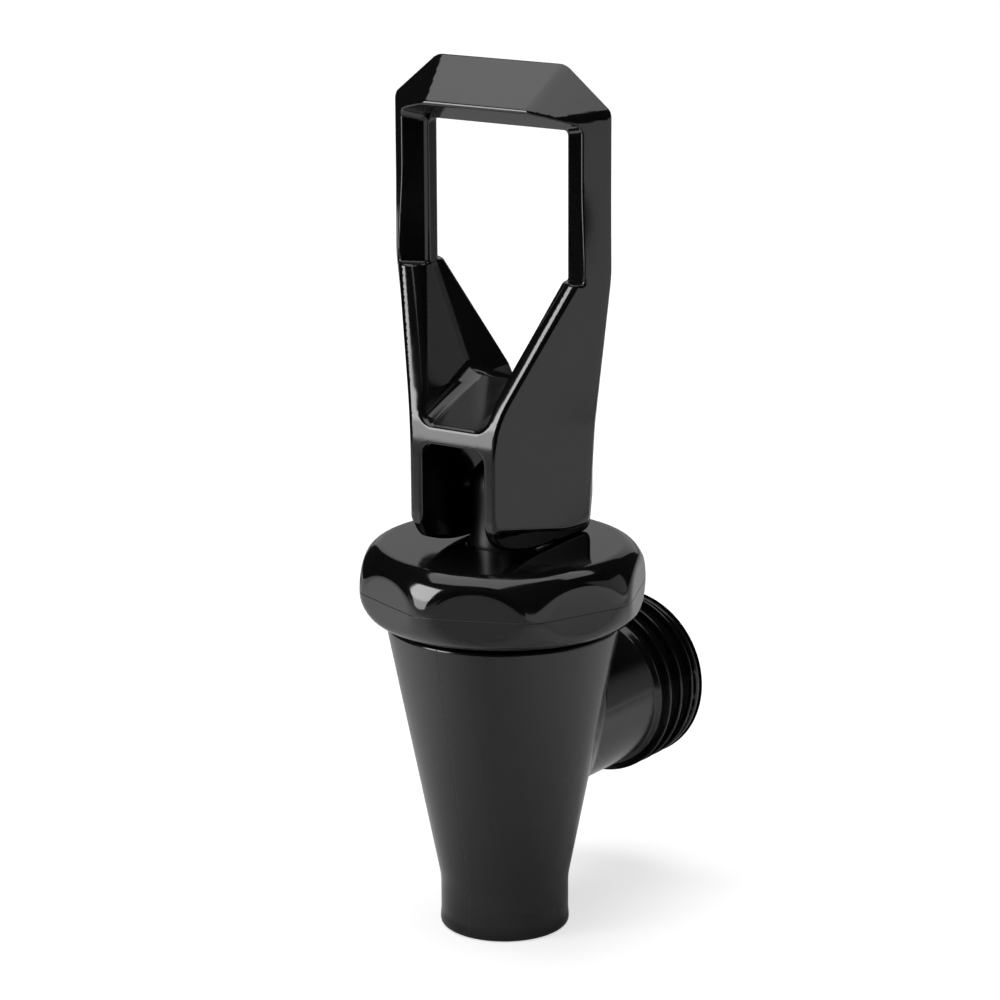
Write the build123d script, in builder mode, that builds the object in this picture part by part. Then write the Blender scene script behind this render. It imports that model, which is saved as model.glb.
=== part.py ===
"""Self-closing beverage tap with a loop handle, for a bag-in-box dispenser.

Millimetres, +Z up. The origin is the centre of the nozzle's mouth. The front is -Y, and the
threaded shank points back along +Y.
"""

import os
from math import cos, radians, sin, sqrt, tan

from build123d import *

# Body: nozzle, conical barrel and neck
nozzle_radius = 9.55
nozzle_lip_radius = 9.85
nozzle_lip_height = 1.2
nozzle_height = 7.4
barrel_top_radius = 17.4
barrel_top_z = 47.2
neck_radius = 14.6
neck_height = 6.6
outlet_radius = 7.4
throat_height = 14.0
seat_radius = 8.6
chamber_foot_radius = 10.2
chamber_top_radius = 12.2
seat_rise = 1.4
chamber_foot_rise = 1.6
nozzle_blend = 10.0
barrel_lip_round = 0.5

# Body: side shank
shank_drop = 17.35
shank_radius = 11.75
shank_end_y = 35.1
thread_length = 11.4
thread_crest_radius = 13.22
thread_chamfer = 0.5
inlet_radius = 8.6
inlet_depth = 20.0
port_radius = 6.5

# Bonnet
seam_gap = 0.7
bonnet_height = 11.25
bonnet_radius = 21.33
bonnet_belly = 4.95
bonnet_top_radius = 17.6
bonnet_foot_radius = 17.7
bonnet_flats = 8
bonnet_flat_distance = 20.2
bonnet_roof = 2.4

# Seat cup
cup_flange_thickness = 1.2
cup_top_radius = 9.6
cup_foot_radius = 9.0
cup_wall = 1.1
cup_floor = 3.2

# Stem and pin
stem_radius = 4.9
stem_shank_radius = 3.4
stem_collar_radius = 7.4
stem_collar_height = 2.0
stem_button_radius = 4.4
stem_button_height = 1.8
stem_head_rise = 4.9
pin_radius = 1.5
pin_rise = 8.05
pin_right_reach = 9.5

# Spring
spring_wire_radius = 0.55
spring_radius = 6.3
spring_length = 16.75
spring_turns = 5.5
spring_wire_sides = 8

# Handle: loop, with its window and roof-shaped top
window_height = 20.45
window_half_width = 11.9
window_flat_depth = 0.9
soffit_rise = 3.0
crown_rise = 6.15
shoulder_drop = 0.15
ridge_half_length = 10.95
brow_depth = 7.15
brow_half_length = 9.13
shoulder_half_width = 18.73
leg_edge_half_width = 15.61
leg_edge_depth = 2.85
leg_edge_flat = 0.3
edge_round = 0.6

# Handle: side plates, web and foot
plate_edge = 1.5
vee_height = 16.7
vee_sink = 0.5
flare_drop = 2.4
flare_start_half_width = 14.14
flare_start_depth = 5.53
plate_half_width = 6.85
plate_depth = 13.7
flare_lean = 30.4
flare_bend = 19.5
flare_steps = 5
ridge_mid_half_width = 15.9
ridge_foot_half_width = 14.75
web_rise = 18.95
web_gable = 5.3
web_thickness = 2.6
web_depth = 13.2
pocket_half_width = 5.3
wing_rise = 4.85
rocker_radius = 29.0
foot_corner = 4.6

# Clearances
running_clearance = 0.08
guide_clearance = 0.3
soft_clearance = 0.25
foot_clearance = 0.3
thread_clearance = 0.3

# Levels that follow from the sizes above
bonnet_foot_z = barrel_top_z + seam_gap
bonnet_top_z = bonnet_foot_z + bonnet_height
bonnet_belly_z = bonnet_foot_z + bonnet_belly
neck_top_z = barrel_top_z + neck_height
cup_flange_top_z = neck_top_z + cup_flange_thickness
bonnet_ceiling_z = bonnet_top_z - bonnet_roof
seat_z = throat_height + seat_rise
cup_foot_z = seat_z + soft_clearance
cup_inner_foot_z = cup_foot_z + cup_floor
stem_foot_z = cup_inner_foot_z + soft_clearance
collar_top_z = bonnet_ceiling_z - spring_length
foot_z = bonnet_top_z + foot_clearance
wing_foot_z = foot_z + wing_rise
pin_height = foot_z + pin_rise
stem_top_z = pin_height + stem_head_rise
web_edge_z = foot_z + web_rise
web_ridge_z = web_edge_z + web_gable
vee_foot_z = web_ridge_z - vee_sink
leg_foot_z = web_ridge_z + vee_height
flare_start_z = leg_foot_z - flare_drop
window_top_z = leg_foot_z + window_height
brow_z = window_top_z + soffit_rise
shoulder_z = brow_z - shoulder_drop
handle_top_z = brow_z + crown_rise
shank_height = barrel_top_z - shank_drop
thread_start_y = shank_end_y - thread_length
shank_plane = Plane(origin=(0, 0, shank_height), x_dir=(1, 0, 0), z_dir=(0, 1, 0))

os.makedirs("parts", exist_ok=True)


# Body: barrel and nozzle turned about Z, side shank with its thread's outer cylinder, chamber and bores
with BuildPart() as body:
    with BuildSketch(Plane.XZ) as barrel:
        with BuildLine():
            Polyline(
                (0, 0),
                (nozzle_lip_radius, 0),
                (nozzle_lip_radius, nozzle_lip_height),
                (nozzle_radius, nozzle_lip_height + nozzle_lip_radius - nozzle_radius),
                (nozzle_radius, nozzle_height),
                (barrel_top_radius, barrel_top_z),
                (neck_radius, barrel_top_z),
                (neck_radius, neck_top_z),
                (0, neck_top_z),
                close=True,
            )
        make_face()
        fillet(barrel.vertices().sort_by_distance((nozzle_radius, nozzle_height))[0], nozzle_blend)
        fillet(barrel.vertices().sort_by_distance((barrel_top_radius, barrel_top_z))[0], barrel_lip_round)
    revolve(axis=Axis.Z)
    with BuildSketch(shank_plane):
        Circle(shank_radius)
    extrude(amount=thread_start_y)
    with BuildSketch(shank_plane.offset(thread_start_y)):
        Circle(thread_crest_radius)
    extrude(amount=thread_length)
    chamfer(body.edges().filter_by(GeomType.CIRCLE).sort_by(Axis.Y)[-1], thread_chamfer)
    with BuildSketch(Plane.XZ):
        with BuildLine():
            Polyline(
                (0, 0),
                (outlet_radius, 0),
                (outlet_radius, throat_height),
                (seat_radius, seat_z),
                (chamber_foot_radius, seat_z + chamber_foot_rise),
                (chamber_top_radius, neck_top_z),
                (0, neck_top_z),
                close=True,
            )
        make_face()
    revolve(axis=Axis.Z, mode=Mode.SUBTRACT)
    with BuildSketch(shank_plane):
        Circle(port_radius)
    extrude(amount=shank_end_y, mode=Mode.SUBTRACT)
    with BuildSketch(shank_plane.offset(shank_end_y)):
        Circle(inlet_radius)
    extrude(amount=-inlet_depth, mode=Mode.SUBTRACT)
body.part.label = "body"
export_step(body.part, "parts/body.step")


# Bonnet: turned cap with a belly, flats round the rim, and a guide bore for the stem
with BuildPart() as bonnet:
    with BuildSketch(Plane.XZ):
        with BuildLine():
            Line((0, bonnet_foot_z), (bonnet_foot_radius, bonnet_foot_z))
            EllipticalCenterArc(
                (bonnet_foot_radius, bonnet_belly_z),
                bonnet_radius - bonnet_foot_radius,
                bonnet_belly,
                start_angle=270,
                arc_size=90,
            )
            EllipticalCenterArc(
                (bonnet_top_radius, bonnet_belly_z),
                bonnet_radius - bonnet_top_radius,
                bonnet_top_z - bonnet_belly_z,
                arc_size=90,
            )
            Line((bonnet_top_radius, bonnet_top_z), (0, bonnet_top_z))
            Line((0, bonnet_top_z), (0, bonnet_foot_z))
        make_face()
    revolve(axis=Axis.Z)
    flat_angle = 360 / bonnet_flats
    with BuildSketch(Plane.XY.offset(bonnet_foot_z)):
        with PolarLocations(0, bonnet_flats, start_angle=-90 + flat_angle / 2):
            with Locations((bonnet_flat_distance + bonnet_radius / 2, 0)):
                Rectangle(bonnet_radius, 2 * bonnet_radius * tan(radians(flat_angle / 2)))
    extrude(amount=bonnet_height, mode=Mode.SUBTRACT)
    with BuildSketch(Plane.XY.offset(bonnet_foot_z)):
        Circle(neck_radius + thread_clearance)
    extrude(amount=cup_flange_top_z - bonnet_foot_z, mode=Mode.SUBTRACT)
    with BuildSketch(Plane.XY.offset(cup_flange_top_z)):
        Circle(cup_top_radius - cup_wall)
    extrude(amount=bonnet_ceiling_z - cup_flange_top_z, mode=Mode.SUBTRACT)
    with BuildSketch(Plane.XY.offset(bonnet_ceiling_z)):
        Circle(stem_radius + guide_clearance)
    extrude(amount=bonnet_roof, mode=Mode.SUBTRACT)
bonnet.part.label = "bonnet"
export_step(bonnet.part, "parts/bonnet.step")


# Seat cup: flange clamped under the bonnet, thin wall, and a floor that closes the outlet
with BuildPart() as seat_cup:
    with BuildSketch(Plane.XZ):
        with BuildLine():
            Polyline(
                (0, cup_foot_z),
                (seat_radius - soft_clearance, cup_foot_z),
                (cup_foot_radius, cup_foot_z + chamber_foot_rise),
                (cup_top_radius, neck_top_z),
                (neck_radius, neck_top_z),
                (neck_radius, cup_flange_top_z),
                (cup_top_radius - cup_wall, cup_flange_top_z),
                (cup_foot_radius - cup_wall, cup_inner_foot_z),
                (0, cup_inner_foot_z),
                close=True,
            )
        make_face()
    revolve(axis=Axis.Z)
seat_cup.part.label = "seat_cup"
export_step(seat_cup.part, "parts/seat_cup.step")


# Stem: guided rod, spring collar and button, with a domed head cross-drilled for the pin
with BuildPart() as stem:
    with BuildSketch(Plane.XZ):
        with BuildLine():
            Polyline(
                (0, stem_foot_z),
                (stem_button_radius, stem_foot_z),
                (stem_button_radius, stem_foot_z + stem_button_height),
                (stem_shank_radius, stem_foot_z + stem_button_height),
                (stem_shank_radius, collar_top_z - stem_collar_height),
                (stem_collar_radius, collar_top_z - stem_collar_height),
                (stem_collar_radius, collar_top_z),
                (stem_radius, collar_top_z),
                (stem_radius, pin_height),
            )
            RadiusArc((stem_radius, pin_height), (0, stem_top_z), -stem_radius)
            Line((0, stem_top_z), (0, stem_foot_z))
        make_face()
    revolve(axis=Axis.Z)
    with BuildSketch(Plane.YZ.offset(-stem_radius)):
        with Locations((0, pin_height)):
            Circle(pin_radius + running_clearance)
    extrude(amount=2 * stem_radius, mode=Mode.SUBTRACT)
stem.part.label = "stem"
export_step(stem.part, "parts/stem.step")


# Spring: round wire coiled between the stem's collar and the bonnet's ceiling
spring_foot_z = collar_top_z + spring_wire_radius
spring_top_z = bonnet_ceiling_z - spring_wire_radius
with BuildPart() as spring:
    with BuildLine() as spring_path:
        Helix(
            (spring_top_z - spring_foot_z) / spring_turns,
            spring_top_z - spring_foot_z,
            spring_radius,
            center=(0, 0, spring_foot_z),
        )
    with BuildSketch(Plane(spring_path.line @ 0, z_dir=spring_path.line % 0)):
        RegularPolygon(spring_wire_radius, spring_wire_sides)
    sweep(path=spring_path.line, is_frenet=True)
spring.part.label = "spring"
export_step(spring.part, "parts/spring.step")


# Handle: faceted loop, flared side plates, gabled web and rocker foot, all one moulding
def facet(first, second, third):
    """Plane through three corners of the loop, facing away from the loop's middle."""
    a, b, c = Vector(first), Vector(second), Vector(third)
    normal = (b - a).cross(c - a)
    middle = Vector(0, 0, (leg_foot_z + window_top_z) / 2)
    return Plane(a, z_dir=normal if normal.dot(a - middle) > 0 else -normal)


def ridge_half_width(z):
    """Half width at mid-depth, tapering from the legs to the foot."""
    if z > web_edge_z:
        share = (z - web_edge_z) / (leg_foot_z - web_edge_z)
        return ridge_mid_half_width + share * (shoulder_half_width - ridge_mid_half_width)
    share = (z - foot_z) / (web_edge_z - foot_z)
    return ridge_foot_half_width + share * (ridge_mid_half_width - ridge_foot_half_width)


def inner_half_width(z):
    """Half the gap between the plates at mid-depth: a vee above the web, a slot below it."""
    share = (z - vee_foot_z) / (leg_foot_z - vee_foot_z)
    return pocket_half_width + max(share, 0) * (window_half_width - pocket_half_width)


def plate_section(z, edge_x, edge_y, edge_flat):
    """Plan outline of the right-hand plate at one height, as a closed face on that level."""
    ridge = ridge_half_width(z)
    inner = inner_half_width(z)
    with BuildSketch(Plane.XY.offset(z)) as section:
        with BuildLine():
            Polyline(
                (ridge, 0),
                (edge_x, -edge_y),
                (edge_x - edge_flat, -edge_y),
                (inner, -window_flat_depth),
                (inner, window_flat_depth),
                (edge_x - edge_flat, edge_y),
                (edge_x, edge_y),
                close=True,
            )
        make_face()
    return section.sketch


leg_slope = (shoulder_half_width - leg_edge_half_width) / leg_edge_depth
reveal_slope = (leg_edge_half_width - window_half_width) / (leg_edge_depth - window_flat_depth)
soffit_slope = (brow_z - window_top_z) / (brow_depth - window_flat_depth)
brow_plan_half_width = shoulder_half_width - leg_slope * brow_depth
cutter_depth = brow_depth + 1

flare_run_x = flare_start_half_width - plate_half_width
flare_run_y = plate_depth - flare_start_depth
flare_run = sqrt(flare_run_x**2 + flare_run_y**2)
bend_run = flare_bend * (1 - cos(radians(flare_lean)))
bend_start_z = flare_start_z - (flare_run - bend_run) / tan(radians(flare_lean))
bend_end_z = bend_start_z - flare_bend * sin(radians(flare_lean))

# Levels of the flared front edge, each with its distance along the flare's plan line
flare_levels = [(flare_start_z, 0.0)]
for step in range(flare_steps + 1):
    lean = radians(flare_lean) * (1 - step / flare_steps)
    level = bend_end_z + flare_bend * sin(lean)
    flare_levels.append((level, flare_run - flare_bend * (1 - cos(lean))))
flare_levels.append((foot_z, flare_run))

plate_sections = [plate_section(leg_foot_z, leg_edge_half_width, leg_edge_depth, leg_edge_flat)]
for level, run in flare_levels:
    edge_x = flare_start_half_width - flare_run_x * run / flare_run
    edge_y = flare_start_depth + flare_run_y * run / flare_run
    plate_sections.append(plate_section(level, edge_x, edge_y, plate_edge))

with BuildPart() as handle:
    with BuildSketch(Plane.XY.offset(leg_foot_z)):
        with BuildLine():
            Polyline(
                (shoulder_half_width, 0),
                (brow_plan_half_width, brow_depth),
                (-brow_plan_half_width, brow_depth),
                (-shoulder_half_width, 0),
                (-brow_plan_half_width, -brow_depth),
                (brow_plan_half_width, -brow_depth),
                close=True,
            )
        make_face()
    extrude(amount=handle_top_z - leg_foot_z)
    for side in (-1, 1):
        ridge_end = (ridge_half_length, 0, handle_top_z)
        brow_end = (brow_half_length, side * brow_depth, brow_z)
        split(bisect_by=facet((0, 0, handle_top_z), ridge_end, brow_end), keep=Keep.BOTTOM)
        for hand in (-1, 1):
            corners = (ridge_end, brow_end, (shoulder_half_width, 0, shoulder_z))
            split(bisect_by=facet(*[(hand * x, y, z) for x, y, z in corners]), keep=Keep.BOTTOM)
    for depth in (cutter_depth, window_flat_depth, -window_flat_depth, -cutter_depth):
        spread = abs(depth) - window_flat_depth
        half_width = window_half_width + reveal_slope * spread
        height = window_top_z + soffit_slope * spread - leg_foot_z
        with BuildSketch(Plane.XZ.offset(depth)):
            with Locations((0, leg_foot_z)):
                Rectangle(2 * half_width, height, align=(Align.CENTER, Align.MIN))
    loft(ruled=True, mode=Mode.SUBTRACT)
    rims = handle.edges().filter_by(Axis.X).group_by(Axis.Z)
    fillet(rims[-2] + rims[-1], edge_round)
    loft(sections=plate_sections, ruled=True)
    mirror(loft(sections=plate_sections, ruled=True, mode=Mode.PRIVATE), about=Plane.YZ)
    with BuildSketch(Plane.YZ.offset(-pocket_half_width - plate_edge / 2)):
        with BuildLine():
            Polyline(
                (-web_depth, web_edge_z - web_thickness),
                (-web_depth, web_edge_z),
                (0, web_ridge_z),
                (web_depth, web_edge_z),
                (web_depth, web_edge_z - web_thickness),
                (0, web_ridge_z - web_thickness),
                close=True,
            )
        make_face()
    extrude(amount=2 * pocket_half_width + plate_edge)
    with BuildSketch(Plane.XY.offset(wing_foot_z)):
        with GridLocations(2 * (plate_half_width + shoulder_half_width / 2), 0, 2, 1):
            Rectangle(shoulder_half_width, 3 * plate_depth)
    extrude(amount=foot_z - wing_foot_z, mode=Mode.SUBTRACT)
    heel_z = foot_z + rocker_radius - sqrt(rocker_radius**2 - plate_depth**2)
    with BuildSketch(Plane.YZ.offset(-shoulder_half_width)) as rocker:
        with BuildLine():
            ThreePointArc((-plate_depth, heel_z), (0, foot_z), (plate_depth, heel_z))
            Polyline(
                (plate_depth, heel_z),
                (plate_depth, handle_top_z),
                (-plate_depth, handle_top_z),
                (-plate_depth, heel_z),
            )
        make_face()
        fillet(rocker.vertices().group_by(Axis.Z)[0], foot_corner)
    extrude(amount=2 * shoulder_half_width, mode=Mode.INTERSECT)
    with BuildSketch(Plane.YZ.offset(-shoulder_half_width)):
        with Locations((0, pin_height)):
            Circle(pin_radius)
    extrude(amount=shoulder_half_width + pin_right_reach, mode=Mode.SUBTRACT)
handle.part.label = "handle"
export_step(handle.part, "parts/handle.step")


# Handle pin: pressed into the handle from its left side, turning in the stem's cross hole
pin_left_reach = ridge_half_width(pin_height) - pin_radius / 2
with BuildPart() as handle_pin:
    with BuildSketch(Plane.YZ.offset(-pin_left_reach)):
        with Locations((0, pin_height)):
            Circle(pin_radius)
    extrude(amount=pin_left_reach + pin_right_reach)
handle_pin.part.label = "handle_pin"
export_step(handle_pin.part, "parts/handle_pin.step")
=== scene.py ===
"""Looks of a self-closing drink tap in gloss-black mouldings.

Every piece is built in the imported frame, +Z up, with the origin at the nozzle's mouth. Fields
that hold a size are in millimetres, and a mesh is scaled to metres as it is made.
"""

import logging
import math
from collections.abc import Callable
from dataclasses import dataclass
from enum import Enum

import bmesh
import bpy
import numpy as np
from mathutils import Matrix, Vector

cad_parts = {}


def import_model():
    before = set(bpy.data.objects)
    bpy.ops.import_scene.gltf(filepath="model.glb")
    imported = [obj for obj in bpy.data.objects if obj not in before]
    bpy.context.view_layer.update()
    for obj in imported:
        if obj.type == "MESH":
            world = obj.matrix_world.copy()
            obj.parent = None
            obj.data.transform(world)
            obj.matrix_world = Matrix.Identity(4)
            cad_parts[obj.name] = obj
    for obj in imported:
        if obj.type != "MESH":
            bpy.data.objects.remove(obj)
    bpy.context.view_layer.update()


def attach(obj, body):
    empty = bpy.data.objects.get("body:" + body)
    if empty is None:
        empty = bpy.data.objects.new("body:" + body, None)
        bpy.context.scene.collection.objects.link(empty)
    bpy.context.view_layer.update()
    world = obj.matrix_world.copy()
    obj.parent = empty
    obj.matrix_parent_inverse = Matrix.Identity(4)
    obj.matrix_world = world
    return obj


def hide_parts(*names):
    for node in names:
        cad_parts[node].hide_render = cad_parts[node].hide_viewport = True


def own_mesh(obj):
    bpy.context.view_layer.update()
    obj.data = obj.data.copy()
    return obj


MM = 0.001
LOG = logging.getLogger("tap")
Array = np.ndarray
Distance = np.ndarray
Levels = tuple[float, ...]
Material = bpy.types.Material
Object = bpy.types.Object
Solid = Callable[[Array, Array, Array], Distance]
Triple = tuple[float, float, float]


def meet(a: Distance, b: Distance, edge: float | Array) -> Distance:
    """Keep what lies in both solids, with a rounded edge where their faces cross.

    Args:
        a: Signed distance to the first solid, negative inside.
        b: Signed distance to the second solid.
        edge: Radius of the rounded edge, or one radius a point.

    Returns:
        Signed distance to the common solid.
    """
    round_off = np.hypot(np.maximum(a + edge, 0), np.maximum(b + edge, 0))
    return np.minimum(np.maximum(a, b), -edge) + round_off


def join(a: Distance, b: Distance, fillet: float) -> Distance:
    """Add two solids, with a fillet in the corner where their faces cross."""
    return -meet(-a, -b, fillet)


def cut(a: Distance, b: Distance, edge: float) -> Distance:
    """Take the second solid out of the first, with a rounded mouth."""
    return meet(a, -b, edge)


def soft_ramp(x: Array, width: float) -> Array:
    """Zero below the bend and rising one to one above it, with a smooth turn of the given half width."""
    turn = (x + width) ** 2 / (4 * width)
    return np.where(x < -width, 0.0, np.where(x > width, x, turn))


def ease(share: Array) -> Array:
    """Smooth step from 0 to 1 as the share goes from 0 to 1."""
    held = np.clip(share, 0, 1)
    return held * held * (3 - 2 * held)


def linked(name: str, data: bpy.types.ID) -> Object:
    """Make an object of a mesh, camera or lamp and link it to the scene."""
    thing = bpy.data.objects.new(name, data)
    bpy.context.collection.objects.link(thing)
    return thing


def mesh_object(name: str, points: Array, faces: Array) -> Object:
    """Make a smooth-shaded object from points in millimetres.

    Args:
        name: Name of the object and its mesh.
        points: One row a point, in millimetres.
        faces: One row a quad, as point numbers.

    Returns:
        The new object, linked to the scene.
    """
    mesh = bpy.data.meshes.new(name)
    mesh.from_pydata((points * MM).tolist(), [], faces.tolist())
    mesh.shade_smooth()
    return linked(name, mesh)


def flat_mesh(name: str, width: float, height: float) -> bpy.types.Mesh:
    """Make a mesh of one level rectangle round the origin, in metres."""
    x = width / 2
    y = height / 2
    mesh = bpy.data.meshes.new(name)
    mesh.from_pydata([(-x, -y, 0), (x, -y, 0), (x, y, 0), (-x, y, 0)], [], [(0, 1, 2, 3)])
    return mesh


@dataclass
class SurfaceNet:
    """Skins a signed distance field with a net on its surface, finer where the surface turns sharply."""

    cell: float
    settle_steps: int = 4
    split_turn: float = 12.0
    least_slope: float = 0.25
    margin: float = 1.0
    probe: float = 0.01

    def half(self, reach: float) -> float:
        """Half of a span in whole cells that holds a reach and the margin."""
        return self.cell * math.ceil((reach + self.margin) / self.cell)

    def piece(self, name: str, solid: Solid, low: Triple, high: Triple) -> Object:
        """Make an object of a solid.

        Args:
            name: Name of the object.
            solid: Signed distance field, in millimetres.
            low: Lowest corner of the space to search.
            high: Highest corner of the space to search.

        Returns:
            The skinned object.
        """
        points, faces = self.net(solid, np.array(low), np.array(high))
        points, normals = self.settled(solid, points)
        piece = mesh_object(name, points, faces)
        self.split_turns(piece.data, normals)
        split = np.empty(3 * len(piece.data.vertices))
        piece.data.vertices.foreach_get("co", split)
        points, normals = self.settled(solid, split.reshape(-1, 3) / MM)
        piece.data.vertices.foreach_set("co", (points * MM).ravel())
        piece.data.update()
        piece.data.shade_smooth()
        piece.data.normals_split_custom_set_from_vertices(normals.tolist())
        return piece

    def settled(self, solid: Solid, points: Array) -> tuple[Array, Array]:
        """Move points onto the surface.

        Args:
            solid: Signed distance field.
            points: Points near its surface.

        Returns:
            The moved points, and the surface's normal at each.
        """
        for _ in range(self.settle_steps):
            value, slope = self.slope(solid, points)
            step = value / np.maximum((slope**2).sum(axis=1), self.least_slope)
            points = points - np.clip(step, -self.cell, self.cell)[:, None] * slope
        slope = self.slope(solid, points)[1]
        return points, slope / np.linalg.norm(slope, axis=1)[:, None]

    def split_turns(self, mesh: bpy.types.Mesh, normals: Array) -> None:
        """Halve the edges along which the surface turns sharply, so that rounded edges come out smooth."""
        ends = np.empty(2 * len(mesh.edges), dtype=int)
        mesh.edges.foreach_get("vertices", ends)
        first, second = normals[ends.reshape(-1, 2)].transpose(1, 0, 2)
        sharp = (first * second).sum(axis=1) < math.cos(math.radians(self.split_turn))
        shape = bmesh.new()
        shape.from_mesh(mesh)
        shape.edges.ensure_lookup_table()
        chosen = [shape.edges[k] for k in np.flatnonzero(sharp)]
        bmesh.ops.subdivide_edges(shape, edges=chosen, cuts=1, use_grid_fill=True)
        shape.to_mesh(mesh)
        shape.free()

    def slope(self, solid: Solid, points: Array) -> tuple[Array, Array]:
        """Value and gradient of the field at each point."""
        value = solid(*points.T)
        sides = []
        for axis in np.eye(3) * self.probe:
            sides.append((solid(*(points + axis).T) - solid(*(points - axis).T)) / (2 * self.probe))
        return value, np.stack(sides, axis=1)

    def net(self, solid: Solid, low: Array, high: Array) -> tuple[Array, Array]:
        """Points, one in each cell that the surface crosses, and the quads between them.

        Args:
            solid: Signed distance field.
            low: Lowest corner of the space.
            high: Highest corner of the space.

        Returns:
            The points, and the quads facing outwards.
        """
        counts = np.ceil((high - low) / self.cell).astype(int) + 1
        axes = [low[k] + self.cell * np.arange(counts[k]) for k in range(3)]
        values = solid(*np.meshgrid(*axes, indexing="ij"))
        inside = values < 0
        corners = [(i, j, k) for i in (0, 1) for j in (0, 1) for k in (0, 1)]
        tally = np.zeros(counts - 1, dtype=int)
        for corner in corners:
            tally += inside[tuple(slice(c, c + n - 1) for c, n in zip(corner, counts))]
        cells = np.argwhere((tally > 0) & (tally < len(corners)))
        number = np.full(tally.shape, -1)
        number[tuple(cells.T)] = np.arange(len(cells))
        total = np.zeros((len(cells), 3))
        hits = np.zeros(len(cells))
        for axis in np.eye(3, dtype=int):
            for corner in corners:
                if np.dot(axis, corner):
                    continue
                start = cells + corner
                a = values[tuple(start.T)]
                b = values[tuple((start + axis).T)]
                crossed = (a < 0) != (b < 0)
                share = np.where(crossed, a / np.where(crossed, a - b, 1), 0)
                total += crossed[:, None] * (start + share[:, None] * axis)
                hits += crossed
        points = low + self.cell * total / hits[:, None]
        return points, np.concatenate([self.quads(inside, number, axis) for axis in range(3)])

    def quads(self, inside: Array, number: Array, axis: int) -> Array:
        """Quads across the grid edges that run along one axis and cross the surface."""
        first, second = np.eye(3, dtype=int)[[(axis + 1) % 3, (axis + 2) % 3]]
        turned = np.moveaxis(inside, axis, 0)
        crossed = np.moveaxis(turned[:-1] != turned[1:], 0, axis)
        edges = np.argwhere(crossed)
        edges = edges[(edges @ first > 0) & (edges @ second > 0)]
        edges = edges[np.all(edges < np.array(number.shape), axis=1)]
        ring = [number[tuple((edges - shift).T)] for shift in (first + second, second, 0 * first, first)]
        faces = np.stack(ring, axis=1)
        outward = inside[tuple(edges.T)]
        return np.where(outward[:, None], faces, faces[:, ::-1])


class Wire:
    """A shader value that Python arithmetic turns into Math nodes."""

    def __init__(self, graph: "NodeGraph", socket: bpy.types.NodeSocket) -> None:
        """Hold the socket and the graph that it belongs to."""
        self.graph = graph
        self.socket = socket

    def math(self, operation: str, *others: "Wire | float") -> "Wire":
        """Add one Math node that takes this value first."""
        values = dict(enumerate((self, *others)))
        return self.graph.node("ShaderNodeMath", values, operation=operation)["Value"]

    def __add__(self, other: "Wire | float") -> "Wire":
        """Sum."""
        return self.math("ADD", other)

    def __sub__(self, other: "Wire | float") -> "Wire":
        """Difference."""
        return self.math("SUBTRACT", other)

    def __rsub__(self, other: float) -> "Wire":
        """Difference from a number."""
        return (self * -1.0) + other

    def __mul__(self, other: "Wire | float") -> "Wire":
        """Product."""
        return self.math("MULTIPLY", other)

    def __truediv__(self, other: "Wire | float") -> "Wire":
        """Quotient."""
        return self.math("DIVIDE", other)

    def size(self) -> "Wire":
        """Value without its sign."""
        return self.math("ABSOLUTE")

    def between(self, low: float, high: float) -> "Wire":
        """Smooth step from 0 at low to 1 at high."""
        limits = {"Value": self, "From Min": low, "From Max": high}
        return self.graph.node("ShaderNodeMapRange", limits, interpolation_type="SMOOTHSTEP")["Result"]


class Outputs:
    """Output sockets of one node, by name."""

    def __init__(self, graph: "NodeGraph", node: bpy.types.Node) -> None:
        """Hold the node."""
        self.graph = graph
        self.node = node

    def __getitem__(self, name: str) -> Wire:
        """Wire of the named output."""
        return Wire(self.graph, self.node.outputs[name])


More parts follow.
